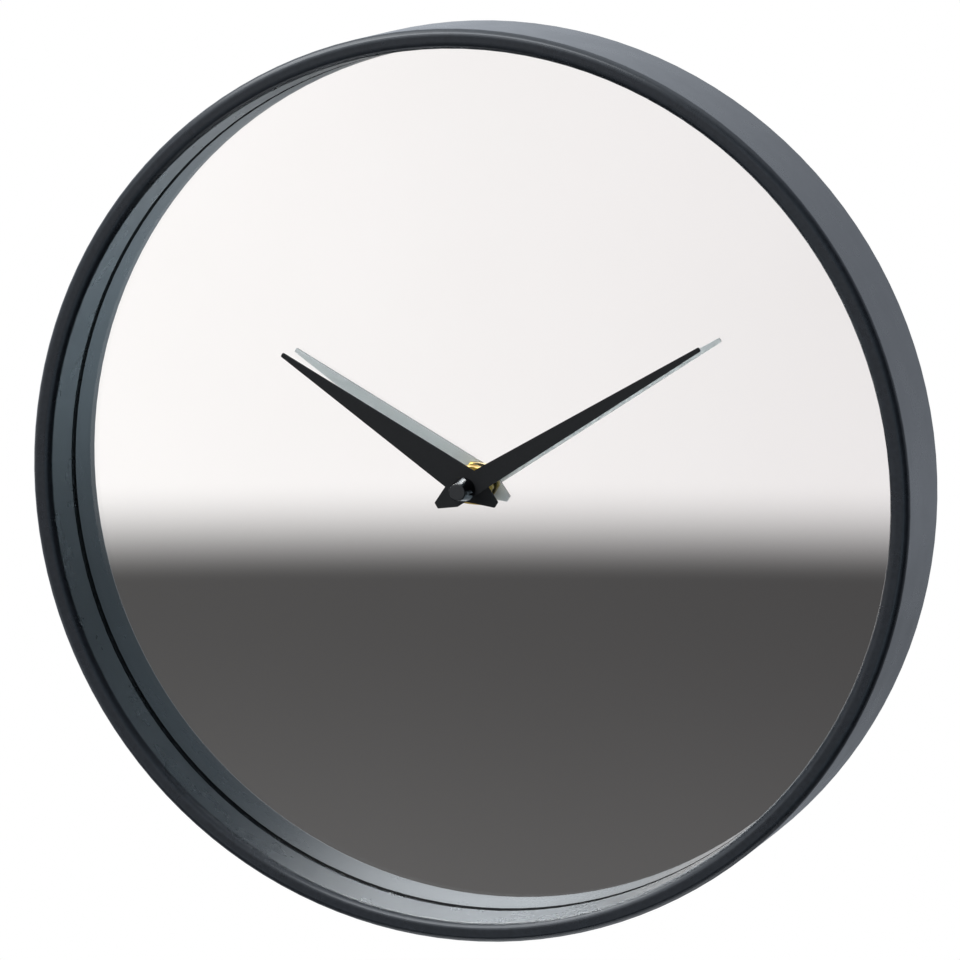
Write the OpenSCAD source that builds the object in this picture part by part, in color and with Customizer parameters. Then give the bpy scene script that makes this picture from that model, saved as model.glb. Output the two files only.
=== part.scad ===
// Mirror clock: a round wall clock whose dial is a mirror set deep in a narrow ring.
// Front faces -Y, 12 o'clock is +Z, the wall is the plane y = 0 and the hands turn about the Y axis.

/* [Case ring] */
// Outer diameter of the ring at its front edge
case_d = 300; // [240:1:400]
// Growth of the outer radius from the front edge to the wall
case_draft = 0.6; // [0:0.1:2]
// Width of the ring's front edge
rim_w = 6.5; // [6:0.1:10]
// Radius of the front edge's two corners
rim_edge_r = 2.4; // [0.4:0.1:2.8]
// Depth from the front edge to the glass
glass_recess = 18.2; // [16:0.1:30]
// Width of the step that the glass rests on
seat_w = 1.5; // [1:0.1:2]
// Gap around the glass and the tray inside the ring
seat_gap = 0.3; // [0.2:0.05:0.6]

/* [Mirror] */
// Thickness of the mirror glass
glass_t = 3; // [2:0.5:5]
// Gap around the bush in the hole of the glass
glass_hole_gap = 0.3; // [0.2:0.1:1]

/* [Back tray] */
// Thickness of the tray's floor, which lies on the back of the glass
tray_floor_t = 2; // [1.5:0.1:3]
// Thickness of the tray's skirt
tray_skirt_t = 2; // [1.5:0.1:4]
// Thickness of the tray's flange, which lies in the ring's back edge
tray_flange_t = 2; // [1.6:0.1:3]
// Width of the ring's lip around the flange
tray_lip_w = 1.1; // [0.8:0.1:1.5]
// Gap between the tray's window and the movement
tray_window_gap = 0.5; // [0.3:0.1:2]
// Number of stiffening ribs on the tray's floor
rib_count = 12; // [6:1:24]
// Height of the ribs
rib_h = 3; // [1:0.5:6]
// Thickness of the ribs
rib_t = 2; // [1:0.1:3]
// Number of screws that hold the tray
screw_count = 6; // [3:1:12]
// Shank diameter of the tray screws
screw_d = 2.1; // [1.6:0.1:2.4]
// Head diameter of the tray screws
screw_head_d = 3.8; // [3.2:0.1:4]
// Length of the tray screws
screw_l = 8; // [6:1:12]

/* [Hanger] */
// Distance from the top of the ring to the keyhole's centre
hanger_drop = 54; // [45:1:80]
// Width of the hanger plate
hanger_w = 46; // [40:1:60]
// Height of the hanger plate
hanger_h = 28; // [26:1:40]
// Thickness of the hanger plate
hanger_t = 1.2; // [0.8:0.1:1.5]
// Diameter of the keyhole's round opening
keyhole_d = 9; // [7:0.1:11]
// Width of the keyhole's slot
keyslot_w = 4.4; // [3.5:0.1:5]
// Distance from the keyhole's centre to the end of its slot
keyslot_l = 11; // [9:0.5:12]
// Distance between the two hanger screws
hanger_screw_pitch = 34; // [28:1:34]
// Shank diameter of the hanger screws
hanger_screw_d = 2.8; // [2:0.1:3.5]
// Head diameter of the hanger screws
hanger_screw_head_d = 5.4; // [4.5:0.1:6.5]
// Head height of the hanger screws
hanger_screw_head_h = 1.1; // [0.8:0.1:1.2]
// Length of the hanger screws under their heads
hanger_screw_l = 8; // [6:0.5:9]
// Diameter of the posts that carry the hanger plate
hanger_post_d = 7.5; // [6.5:0.1:9]

/* [Hands] */
// Length of the minute hand from the axis to its tip
minute_len = 93.3; // [60:0.1:110]
// Length of the minute hand's tail
minute_tail = 11.2; // [9:0.1:20]
// Greatest width of the minute hand
minute_w = 7.8; // [6:0.1:12]
// Distance of that width behind the axis
minute_wide_at = 5; // [0:0.1:6]
// Length of the hour hand from the axis to its tip
hour_len = 77.1; // [45:0.1:90]
// Length of the hour hand's tail
hour_tail = 10.8; // [9:0.1:20]
// Greatest width of the hour hand
hour_w = 10.8; // [8:0.1:14]
// Distance of that width behind the axis
hour_wide_at = 0.9; // [0:0.1:5]
// Width of the blunt tip of both hands
hand_tip_w = 1.5; // [0.8:0.1:3]
// Width of the blunt tail of both hands
hand_tail_w = 2.2; // [1:0.1:4]
// Radius of the corners of both hands
hand_corner_r = 0.4; // [0.1:0.05:0.6]
// Sheet thickness of the hands
hand_t = 0.5; // [0.3:0.1:1]
// Minute hand's angle from 12 o'clock
minute_angle = 58.1; // [0:0.1:360]
// Hour hand's angle from 12 o'clock
hour_angle = 301.9; // [0:0.1:360]
// Gap between the bush and the hour hand
hour_gap = 0.6; // [0.4:0.1:2]
// Gap between the hour hand and the minute hand
hands_gap = 5.5; // [2:0.1:8]
// Base diameter of the cap
cap_d = 7.8; // [6:0.1:12]
// Diameter of the cap's front face
cap_face_d = 5.8; // [4.4:0.1:8]
// Height of the cap
cap_h = 7; // [4.5:0.1:9]

/* [Fixing] */
// Thread diameter of the bush
bush_d = 8; // [7.5:0.1:10]
// Width across the flats of the brass nut
nut_af = 12.4; // [11:0.1:17]
// Thickness of the brass nut
nut_t = 2.4; // [1.5:0.1:4]
// Diameter of the washer under the nut
washer_d = 13; // [11:0.1:14]
// Thickness of the washer
washer_t = 0.4; // [0.3:0.1:1]
// Length of bush that stands out of the nut
bush_proud = 1; // [0.2:0.1:2]
// Diameter of the rubber gasket
gasket_d = 26; // [18:1:40]
// Thickness of the rubber gasket
gasket_t = 0.6; // [0.4:0.1:1.5]

/* [Movement] */
// Width and height of the movement
movement_w = 56; // [56:0.5:66]
// Thickness of the movement's body
movement_t = 14; // [14:0.1:18]
// Corner radius of the movement
movement_corner_r = 3; // [2:0.1:4]
// Wall thickness of the movement's front shell
movement_wall = 1.2; // [1:0.1:1.2]
// Thickness of the movement's rear cover
cover_t = 1.2; // [0.8:0.1:1.2]
// Distance from the movement's back to the wall
wall_gap = 1.7; // [1.6:0.1:5]
// Diameter of the setting knob
knob_d = 10.4; // [7:0.1:11]
// Distance from the setting knob to the wall
knob_gap = 0.6; // [0.4:0.1:0.9]
// Diameter of the AA cell
battery_d = 14; // [13.5:0.1:14.2]
// Length of the AA cell with its nub
battery_l = 50.2; // [49.2:0.1:50.4]
// Gap around the AA cell in its bay
battery_gap = 0.15; // [0.1:0.05:0.3]

/* [Gear train] */
// Distance from the hands' axis to the minute wheel
motion_distance = 10; // [9.8:0.05:10.4]
// Distance from the hands' axis to the third and fifth wheels
train_distance = 10.2; // [10:0.05:10.5]
// Distance from the fifth wheel to the rotor
rotor_distance = 7.9; // [7.6:0.05:8.2]
// Thickness of the hour and minute wheels
wheel_t = 1; // [0.8:0.05:1.1]
// Thickness of the centre, third, second and fifth wheels
thin_wheel_t = 0.8; // [0.6:0.05:0.85]
// Gap between neighbouring wheels along the axis
layer_gap = 0.3; // [0.2:0.02:0.32]
// Radial clearance of shafts in their bores
running_gap = 0.05; // [0.03:0.01:0.08]
// Outer diameter of the hour pipe
pipe_d = 5; // [4.8:0.1:5.4]
// Outer diameter of the minute arbor
arbor_d = 3.4; // [3.2:0.1:3.6]
// Diameter of the arbor's neck in the minute hand
neck_d = 2.8; // [2.4:0.1:3]
// Diameter of the second wheel's shaft
second_shaft_d = 1; // [0.8:0.05:1.2]
// Diameter of the other wheels' pivots
pivot_d = 0.7; // [0.5:0.05:0.9]
// Diameter of the rotor magnet
magnet_d = 4.4; // [3.6:0.1:5]
// Thickness of the rotor magnet
magnet_t = 1.6; // [1.2:0.1:1.8]

/* [Hidden] */
$fn = 96;
eps = 0.01;
arc_steps = 8;

// Clearances between pieces that are fastened to each other
fit_gap = 0.04;
screw_gap = 0.1;

// Planes along the axis, from the wall to the front
movement_back = -wall_gap;
movement_front = movement_back - movement_t;
glass_back = movement_front - gasket_t;
glass_front = glass_back - glass_t;
case_front = glass_front - glass_recess;
tray_floor_back = glass_back + tray_floor_t;
washer_front = glass_front - washer_t;
nut_front = washer_front - nut_t;
bush_front = nut_front - bush_proud;
hour_hand_back = bush_front - hour_gap;
hour_hand_front = hour_hand_back - hand_t;
pipe_proud = 0.4;
pipe_front = hour_hand_front - pipe_proud;
minute_hand_back = hour_hand_front - hands_gap;
minute_hand_front = minute_hand_back - hand_t;
cap_front = minute_hand_front - cap_h;
cap_face_t = 1.6;
neck_front = cap_front + cap_face_t + layer_gap;

// Radii of the ring, the glass and the tray
case_r = case_d / 2;
case_back_r = case_r + case_draft;
ring_r = case_r - rim_w;
bore_r = ring_r + seat_w;
glass_r = bore_r - seat_gap;
skirt_r = glass_r;
skirt_inner_r = skirt_r - tray_skirt_t;
recess_r = case_back_r - tray_lip_w;
flange_r = recess_r - seat_gap;
screw_circle_r = (bore_r + flange_r) / 2;
screw_start = 30;
screw_head_h = (screw_head_d - screw_d) / 2;
screw_sink = 0.1;
pilot_l = screw_l - tray_flange_t + 1;
tray_window_w = movement_w + 2 * tray_window_gap;
rib_start_r = tray_window_w / sqrt(2) + 2;
rib_end_r = skirt_r - tray_skirt_t / 2;

// Hanger: its screw heads end just short of the wall
hanger_back = -hanger_screw_head_h - 0.2;
hanger_front = hanger_back - hanger_t;
hanger_z = case_r - hanger_drop;
hanger_middle_z = hanger_z + (keyslot_l - keyhole_d / 2) / 2;

// Corners of the hands, no rounder than their blunt ends allow
hand_round_r = min(hand_corner_r, hand_tip_w / 2, hand_tail_w / 2);

// Bush, nut and washer
bush_r = bush_d / 2;
bush_flange_r = bush_r + 2.5;
bush_flange_t = movement_wall / 2;
pipe_r = pipe_d / 2;
arbor_r = arbor_d / 2;
neck_r = neck_d / 2;
nut_corner_r = nut_af / sqrt(3);
nut_chamfer = (nut_corner_r - nut_af / 2) * tan(30);
nut_corner_angle = 116;

// Inside of the movement
bay_front = movement_front + movement_wall;
cover_front = movement_back - cover_t;
half_w = movement_w / 2;
inner_w = half_w - movement_wall;
battery_r = battery_d / 2;
battery_y = bay_front + battery_gap + battery_r;
battery_z = -inner_w + battery_gap + battery_r;
nub_r = 2.75;
nub_l = 1;
partition_t = 1;
partition_z = battery_z + battery_r + battery_gap;
bay_floor_z = partition_z + partition_t;
clip_w = 8;
clip_t = 1;
clip_l = 4;
clip_z = 4;
clip_gap = 0.2;

// Tooth form: shares of the pitch and heights in modules
tooth_share = 0.4;
flank_slope = 0.232;
tooth_top = 0.7;
tooth_bottom = 1;

// Teeth of the gear pairs
cannon_teeth = 12;
minute_teeth = 36;
minute_pinion_teeth = 10;
hour_teeth = 40;
knob_teeth = 14;
second_pinion_teeth = 8;
third_teeth = 60;
third_pinion_teeth = 8;
centre_teeth = 64;
second_teeth = 60;
fifth_pinion_teeth = 10;
fifth_teeth = 60;
rotor_teeth = 12;

// Modules that bring each pair to its centre distance
function pair_module(distance, teeth_a, teeth_b) = 2 * distance / (teeth_a + teeth_b);
cannon_module = pair_module(motion_distance, cannon_teeth, minute_teeth);
hour_module = pair_module(motion_distance, minute_pinion_teeth, hour_teeth);
third_module = pair_module(train_distance, second_pinion_teeth, third_teeth);
centre_module = pair_module(train_distance, third_pinion_teeth, centre_teeth);
second_module = pair_module(train_distance, second_teeth, fifth_pinion_teeth);
rotor_module = pair_module(rotor_distance, fifth_teeth, rotor_teeth);
knob_distance = cannon_module * (minute_teeth + knob_teeth) / 2;

// Directions between the axes, seen from the front, and the axes' places as [x, z]
minute_wheel_dir = 0;
knob_dir = 40;
third_dir = 185;
fifth_dir = 75;
rotor_dir = 60;
function away(from, distance, dir) = from + distance * [cos(dir), sin(dir)];
hands_axis = [0, 0];
minute_axis = away(hands_axis, motion_distance, minute_wheel_dir);
knob_axis = away(minute_axis, knob_distance, knob_dir);
third_axis = away(hands_axis, train_distance, third_dir);
fifth_axis = away(hands_axis, train_distance, fifth_dir);
rotor_axis = away(fifth_axis, rotor_distance, rotor_dir);

// Turn of a follower that puts its gap opposite the driver's tooth
function mesh_turn(dir, teeth, turn, follower_teeth) =
  dir + 180 + ((dir - turn) * teeth / 360 + 0.5) * 360 / follower_teeth;
minute_turn = mesh_turn(minute_wheel_dir, cannon_teeth, 0, minute_teeth);
minute_pinion_turn = mesh_turn(minute_wheel_dir, hour_teeth, 0, minute_pinion_teeth);
knob_turn = mesh_turn(knob_dir, minute_teeth, minute_turn, knob_teeth);
third_turn = mesh_turn(third_dir, second_pinion_teeth, 0, third_teeth);
third_pinion_turn = mesh_turn(third_dir, centre_teeth, 0, third_pinion_teeth);
fifth_pinion_turn = mesh_turn(fifth_dir, second_teeth, 0, fifth_pinion_teeth);
rotor_turn = mesh_turn(rotor_dir, fifth_teeth, 0, rotor_teeth);

// Layers of the train along the axis, from the front shell to the rear cover
hour_wheel_front = bay_front + layer_gap;
hour_wheel_back = hour_wheel_front + wheel_t;
cannon_front = hour_wheel_back + layer_gap;
cannon_back = cannon_front + wheel_t + layer_gap;
minute_wheel_front = cannon_front + layer_gap / 2;
minute_wheel_back = minute_wheel_front + wheel_t;
spring_t = 0.2;
spring_dish = 0.3;
spring_w = 1.8;
centre_front = cannon_back + spring_t + spring_dish;
centre_back = centre_front + thin_wheel_t;
rivet_front = centre_back + running_gap;
rivet_t = 0.4;
rivet_w = 0.6;
arbor_back = rivet_front + rivet_t;
second_pinion_front = arbor_back + layer_gap;
third_front = second_pinion_front + layer_gap;
third_back = third_front + thin_wheel_t;
third_pinion_front = centre_front - layer_gap;
second_front = third_back + layer_gap;
second_back = second_front + thin_wheel_t;
fifth_pinion_front = second_front - layer_gap;
fifth_front = second_back + layer_gap;
fifth_back = fifth_front + thin_wheel_t;
rotor_pinion_front = fifth_front - layer_gap;
rotor_pinion_back = fifth_back + layer_gap;
magnet_back = rotor_pinion_front - layer_gap;
magnet_front = magnet_back - magnet_t;

// Bearings: posts on the front shell and bosses on the rear cover
pivot_r = pivot_d / 2;
second_shaft_r = second_shaft_d / 2;
post_r = 1.1;
pivot_l = 2;
post_skin = 0.6;
boss_r = 1.6;
boss_front = fifth_back + 2 * layer_gap;
pivot_back = boss_front + pivot_l - 0.2;
post_bottom = bay_front + post_skin;

// Setting knob in its cup on the rear cover
knob_r = knob_d / 2;
knob_back = -knob_gap;
knob_front = cover_front + layer_gap;
knob_cup_gap = 0.4;
knob_cup_r = knob_r + knob_cup_gap;
knob_cup_front = cover_front - cover_t;
knob_shaft_r = 1;
knob_notches = 12;
knob_notch_r = 0.8;

// Motor: stator plate around the rotor, with the coil above it
stator_t = 1;
stator_front = (magnet_front + magnet_back - stator_t) / 2;
stator_back = stator_front + stator_t;
stator_half_l = 10.5;
stator_half_w = 4.2;
stator_arm_w = 4;
stator_hole_r = magnet_d / 2 + 0.5;
core_t = 0.8;
core_w = 2;
core_back = stator_back + core_t;
core_y = (stator_back + core_back) / 2;
coil_z = rotor_axis[1] + stator_half_w + 3.2;
coil_flange_r = 2.3;
coil_tube_r = 1.5;
coil_r = 2.1;
coil_flange_t = 0.6;
coil_end_gap = 0.3;
coil_half_l = stator_half_l - stator_arm_w - coil_end_gap;
pin_r = 0.8;
pin_proud = 0.4;

// Circuit board on two posts, with the crystal and the chip on its back
board_t = 1;
board_front = cannon_back - layer_gap;
board_back = board_front + board_t;
board_gap = 0.2;
board_size = [18.4, 15];
board_low = [board_gap - inner_w, 10.2];
board_pins = [[-22.3, 22.6], [-10.8, 13]];
board_post_r = 1.5;
crystal_r = 1;
crystal_l = 6;
crystal_at = [-18.5, 14];
crystal_gap = 0.05;
chip_r = 2.4;
chip_h = 1.1;
chip_at = [-15.5, 19.5];

// Battery contacts: sheet strips that run from the cell's ends to the board
contact_t = 0.3;
contact_w = 8;
strip_w = 2;
strip_back = board_front;
strip_front = strip_back - strip_w;
contact_gap = 0.1;
positive_x = battery_l / 2 + contact_gap;
negative_x = -inner_w + contact_gap;
positive_strip_z = bay_floor_z + contact_gap;
positive_strip_x = -22.2;
notch_w = contact_t + 2 * battery_gap;
strip_end_z = board_low[1] + 4;

// Shapes along the Y axis

// Flat outline in the x-z plane, drawn out from the plane front to the plane back
module slab(front, back) {
  translate([0, back, 0])
    rotate([90, 0, 0])
      linear_extrude(back - front)
        children();
}

// Round bar parallel to the Y axis at the place at = [x, z]
module rod(front, back, r, at = [0, 0]) {
  translate([at[0], back, at[1]])
    rotate([90, 0, 0])
      cylinder(h = back - front, r = r);
}

// Cone parallel to the Y axis
module taper(front, back, front_r, back_r, at = [0, 0]) {
  translate([at[0], back, at[1]])
    rotate([90, 0, 0])
      cylinder(h = back - front, r1 = back_r, r2 = front_r);
}

// Outline of [radius, y] points turned about the Y axis
module turned(points) {
  rotate([-90, 0, 0])
    rotate_extrude($fn = 192)
      polygon(points);
}

function arc(centre, r, start, end) =
  [for (i = [0:arc_steps]) centre + r * [cos(start + (end - start) * i / arc_steps),
                                         sin(start + (end - start) * i / arc_steps)]];

function around(r, count, first) =
  [for (i = [0:count - 1]) r * [cos(first + 360 * i / count), sin(first + 360 * i / count)]];

module rounded_square(w, r) {
  square([w, w - 2 * r], center = true);
  square([w - 2 * r, w], center = true);
  for (x = [-1, 1], z = [-1, 1])
    translate([x, z] * (w / 2 - r))
      circle(r);
}

// Gear with straight-sided teeth
function tooth_half(r, teeth, mod) = (tooth_share - flank_slope * (r / mod - teeth / 2)) * 180 / teeth;
function tip_r(teeth, mod) = mod * (teeth / 2 + tooth_top);
function root_r(teeth, mod) = mod * (teeth / 2 - tooth_bottom);
function gear_points(teeth, mod, turn) =
  [for (i = [0:teeth - 1])
    for (corner = [[root_r(teeth, mod), -1], [tip_r(teeth, mod), -1],
                   [tip_r(teeth, mod), 1], [root_r(teeth, mod), 1]])
      let (a = turn + 360 * i / teeth + corner[1] * tooth_half(corner[0], teeth, mod))
        corner[0] * [cos(a), sin(a)]];

module gear(front, back, teeth, mod, turn, at = [0, 0]) {
  slab(front, back)
    translate(at)
      polygon(gear_points(teeth, mod, turn));
}

// Ring and mirror

module case_ring() {
  front_corner = case_front + rim_edge_r;
  color([0.20, 0.22, 0.25])
    difference() {
      turned(concat(
        arc([ring_r + rim_edge_r, front_corner], rim_edge_r, 180, 270),
        arc([case_r - rim_edge_r, front_corner], rim_edge_r, 270, 360),
        [[case_back_r, 0], [recess_r, 0], [recess_r, -tray_flange_t], [bore_r, -tray_flange_t],
         [bore_r, glass_front], [ring_r, glass_front]]));
      for (at = around(screw_circle_r, screw_count, screw_start))
        rod(-tray_flange_t - pilot_l, eps - tray_flange_t, screw_d / 2 + screw_gap, at);
    }
}

module mirror() {
  color([0.86, 0.88, 0.89])
    difference() {
      rod(glass_front, glass_back, glass_r, $fn = 192);
      rod(glass_front - 1, glass_back + 1, bush_r + glass_hole_gap);
    }
}

module back_tray() {
  color([0.10, 0.10, 0.11])
    difference() {
      union() {
        turned([[0, glass_back], [skirt_r, glass_back], [skirt_r, -tray_flange_t],
                [flange_r, -tray_flange_t], [flange_r, 0], [skirt_inner_r, 0],
                [skirt_inner_r, tray_floor_back], [0, tray_floor_back]]);
        for (i = [0:rib_count - 1])
          rotate([0, 360 * (i + 0.5) / rib_count, 0])
            translate([rib_start_r, tray_floor_back - eps, -rib_t / 2])
              cube([rib_end_r - rib_start_r, rib_h + eps, rib_t]);
        for (x = [-1, 1])
          rod(tray_floor_back - eps, hanger_front, hanger_post_d / 2,
              [x * hanger_screw_pitch / 2, hanger_middle_z]);
      }
      slab(glass_back - 1, tray_floor_back + rib_h + 1)
        rounded_square(tray_window_w, movement_corner_r + tray_window_gap);
      for (x = [-1, 1])
        rod(hanger_back - hanger_screw_l - 1, hanger_front + 1, hanger_screw_d / 2 + screw_gap,
            [x * hanger_screw_pitch / 2, hanger_middle_z]);
      for (at = around(screw_circle_r, screw_count, screw_start)) {
        rod(-tray_flange_t - 1, 1, screw_d / 2 + screw_gap, at);
        taper(-screw_head_h - screw_sink, eps, screw_d / 2 + screw_gap,
              screw_d / 2 + screw_gap + screw_head_h + screw_sink, at);
      }
    }
}

module cross_slot(back, depth, l, at) {
  for (turn = [0, 90])
    translate([at[0], back, at[1]])
      rotate([0, turn, 0])
        cube([l, 2 * depth, l / 5], center = true);
}

module tray_screws() {
  head_back = -screw_sink;
  color([0.55, 0.56, 0.58])
    for (at = around(screw_circle_r, screw_count, screw_start))
      difference() {
        union() {
          rod(-screw_l, head_back, screw_d / 2, at);
          taper(head_back - screw_head_h, head_back, screw_d / 2, screw_head_d / 2, at);
        }
        cross_slot(head_back, screw_head_h * 0.7, screw_head_d * 0.6, at);
      }
}

module hanger_plate() {
  color([0.70, 0.71, 0.72])
    difference() {
      slab(hanger_front, hanger_back)
        translate([0, hanger_middle_z])
          square([hanger_w, hanger_h], center = true);
      rod(hanger_front - 1, hanger_back + 1, keyhole_d / 2, [0, hanger_z]);
      rod(hanger_front - 1, hanger_back + 1, keyslot_w / 2, [0, hanger_z + keyslot_l - keyslot_w / 2]);
      slab(hanger_front - 1, hanger_back + 1)
        translate([-keyslot_w / 2, hanger_z])
          square([keyslot_w, keyslot_l - keyslot_w / 2]);
      for (x = [-1, 1])
        rod(hanger_front - 1, hanger_back + 1, hanger_screw_d / 2 + screw_gap,
            [x * hanger_screw_pitch / 2, hanger_middle_z]);
    }
}

module hanger_screws() {
  head_back = hanger_back + hanger_screw_head_h;
  color([0.55, 0.56, 0.58])
    for (x = [-1, 1])
      let (at = [x * hanger_screw_pitch / 2, hanger_middle_z])
        difference() {
          union() {
            rod(hanger_back - hanger_screw_l, head_back, hanger_screw_d / 2, at);
            rod(hanger_back, head_back, hanger_screw_head_d / 2, at);
          }
          cross_slot(head_back, hanger_screw_head_h * 0.6, hanger_screw_head_d * 0.6, at);
        }
}

// Hands

// Arc that rounds a corner of an outline whose points go round clockwise
function rounded_corner(before, corner, after, r) =
  let (out = (before - corner) / norm(before - corner),
       on = (after - corner) / norm(after - corner),
       inward = (out + on) / norm(out + on),
       half = acos(out * on) / 2,
       start = atan2(-out.x, out.y))
  arc(corner + inward * r / sin(half), r, start, start + 2 * half - 180);

// Kite outline of a hand that points to 12 o'clock
module hand_outline(length, tail, w, wide_at) {
  corners = [[-hand_tip_w / 2, length], [hand_tip_w / 2, length], [w / 2, -wide_at],
             [hand_tail_w / 2, -tail], [-hand_tail_w / 2, -tail], [-w / 2, -wide_at]];
  count = len(corners);
  polygon([for (i = [0:count - 1]) each
    rounded_corner(corners[(i + count - 1) % count], corners[i], corners[(i + 1) % count], hand_round_r)]);
}

module hour_hand() {
  color([0.07, 0.07, 0.08])
    difference() {
      slab(hour_hand_front, hour_hand_back)
        rotate(-hour_angle)
          hand_outline(hour_len, hour_tail, hour_w, hour_wide_at);
      rod(hour_hand_front - 1, hour_hand_back + 1, pipe_r + fit_gap);
    }
}

module minute_hand() {
  color([0.07, 0.07, 0.08])
    difference() {
      slab(minute_hand_front, minute_hand_back)
        rotate(-minute_angle)
          hand_outline(minute_len, minute_tail, minute_w, minute_wide_at);
      rod(minute_hand_front - 1, minute_hand_back + 1, neck_r + fit_gap);
    }
}

module hand_cap() {
  edge_r = 0.5;
  foot_h = 0.7;
  face_r = cap_face_d / 2;
  color([0.04, 0.04, 0.05])
    difference() {
      turned(concat(
        [[0, minute_hand_front], [cap_d / 2, minute_hand_front], [cap_d / 2, minute_hand_front - foot_h]],
        arc([face_r - edge_r, cap_front + edge_r], edge_r, 0, -90),
        [[0, cap_front]]));
      rod(neck_front - layer_gap, minute_hand_front + 1, neck_r + fit_gap);
    }
}

// Fixing of the movement in the mirror

module fixing_nut() {
  nut_back = washer_front;
  corner_r = nut_corner_r + eps;
  chamfer_r = nut_af / 2;
  color([0.79, 0.62, 0.27])
    difference() {
      intersection() {
        slab(nut_front, nut_back)
          rotate(nut_corner_angle)
            circle(nut_corner_r, $fn = 6);
        turned([[0, nut_back], [chamfer_r, nut_back], [corner_r, nut_back - nut_chamfer],
                [corner_r, nut_front + nut_chamfer], [chamfer_r, nut_front], [0, nut_front]]);
      }
      rod(nut_front - 1, nut_back + 1, bush_r + fit_gap);
    }
}

module fixing_washer() {
  color([0.79, 0.62, 0.27])
    difference() {
      rod(washer_front, glass_front, washer_d / 2);
      rod(washer_front - 1, glass_front + 1, bush_r + screw_gap);
    }
}

module threaded_bush() {
  color([0.79, 0.62, 0.27])
    difference() {
      union() {
        rod(bush_front, bay_front, bush_r);
        rod(movement_front, movement_front + bush_flange_t, bush_flange_r);
      }
      rod(bush_front - 1, bay_front + 1, pipe_r + running_gap);
    }
}

module mirror_gasket() {
  color([0.08, 0.08, 0.08])
    difference() {
      rod(glass_back, movement_front, gasket_d / 2);
      rod(glass_back - 1, movement_front + 1, bush_r + glass_hole_gap);
    }
}

// Movement shell

// Post on the front shell with a blind bearing for a pivot
module bearing_post(top, at, r) {
  difference() {
    rod(bay_front - eps, top, r + post_r - pivot_r, at);
    rod(post_bottom, top + 1, r + running_gap, at);
  }
}

module movement_case() {
  color([0.13, 0.13, 0.14]) {
    difference() {
      slab(movement_front, cover_front)
        rounded_square(movement_w, movement_corner_r);
      slab(bay_front, cover_front + 1)
        rounded_square(2 * inner_w, movement_corner_r - movement_wall);
      rod(movement_front - 1, bay_front + 1, bush_r + fit_gap);
      rod(movement_front - 1, movement_front + bush_flange_t, bush_flange_r + fit_gap);
      for (x = [-1, 1])
        translate([x * half_w, cover_front, clip_z])
          cube([2 * (clip_t + clip_gap), 2 * (clip_l + clip_gap), clip_w + 2 * clip_gap], center = true);
    }
    difference() {
      slab(bay_front - eps, cover_front)
        translate([-inner_w - eps, partition_z])
          square([2 * (inner_w + eps), partition_t]);
      slab(bay_front, cover_front + 1)
        for (x = [positive_x, negative_x])
          translate([x - battery_gap, partition_z - 1])
            square([notch_w, partition_t + 2]);
    }
    rod(bay_front - eps, minute_wheel_back, pivot_r + post_skin, minute_axis);
    bearing_post(hour_wheel_back, knob_axis, knob_shaft_r);
    bearing_post(third_pinion_front - layer_gap, third_axis, pivot_r);
    bearing_post(third_pinion_front - layer_gap, fifth_axis, pivot_r);
    bearing_post(magnet_front - layer_gap, rotor_axis, pivot_r);
    for (at = board_pins) {
      rod(bay_front - eps, board_front, board_post_r, at);
      rod(bay_front - eps, board_back + pin_proud, pin_r, at);
    }
    for (x = [-1, 1])
      let (at = [rotor_axis[0] + x * (stator_half_l - stator_arm_w / 2), coil_z]) {
        rod(bay_front - eps, stator_front, stator_arm_w / 2 - coil_end_gap, at);
        rod(bay_front - eps, core_back + pin_proud, pin_r, at);
      }
  }
}

module movement_cover() {
  color([0.13, 0.13, 0.14])
    difference() {
      union() {
        slab(cover_front, movement_back)
          intersection() {
            rounded_square(movement_w, movement_corner_r);
            translate([-half_w, partition_z])
              square([movement_w, movement_w]);
          }
        rod(knob_cup_front, cover_front + eps, knob_cup_r + cover_t, knob_axis);
        for (at = [hands_axis, third_axis, fifth_axis, rotor_axis])
          rod(boss_front, cover_front + eps, boss_r, at);
        for (x = [-1, 1])
          translate([x * (half_w - clip_t / 2), cover_front + eps - clip_l / 2, clip_z])
            cube([clip_t, clip_l, clip_w], center = true);
      }
      rod(cover_front, movement_back + 1, knob_cup_r, knob_axis);
      rod(knob_cup_front - 1, cover_front + 1, knob_shaft_r + running_gap, knob_axis);
      rod(boss_front - 1, boss_front + pivot_l, second_shaft_r + running_gap);
      for (at = [third_axis, fifth_axis, rotor_axis])
        rod(boss_front - 1, boss_front + pivot_l, pivot_r + running_gap, at);
    }
}

module setting_knob() {
  color([0.62, 0.62, 0.60])
    union() {
      difference() {
        rod(knob_front, knob_back, knob_r, knob_axis);
        for (at = around(knob_r, knob_notches, 0))
          rod(knob_front - 1, knob_back + 1, knob_notch_r, knob_axis + at, $fn = 24);
      }
      rod(post_bottom + running_gap, knob_front + eps, knob_shaft_r, knob_axis);
      gear(minute_wheel_front, minute_wheel_back, knob_teeth, cannon_module, knob_turn, knob_axis);
    }
}

// Power and control

module aa_battery() {
  color([0.16, 0.30, 0.44])
    translate([-battery_l / 2, battery_y, battery_z])
      rotate([0, 90, 0]) {
        cylinder(h = battery_l - nub_l, r = battery_r);
        cylinder(h = battery_l, r = nub_r);
      }
}

// Sheet strip between two points of the x-z plane that lie on one line
module strip(front, back, low, high) {
  slab(front, back)
    translate(low)
      square(high - low);
}

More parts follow.
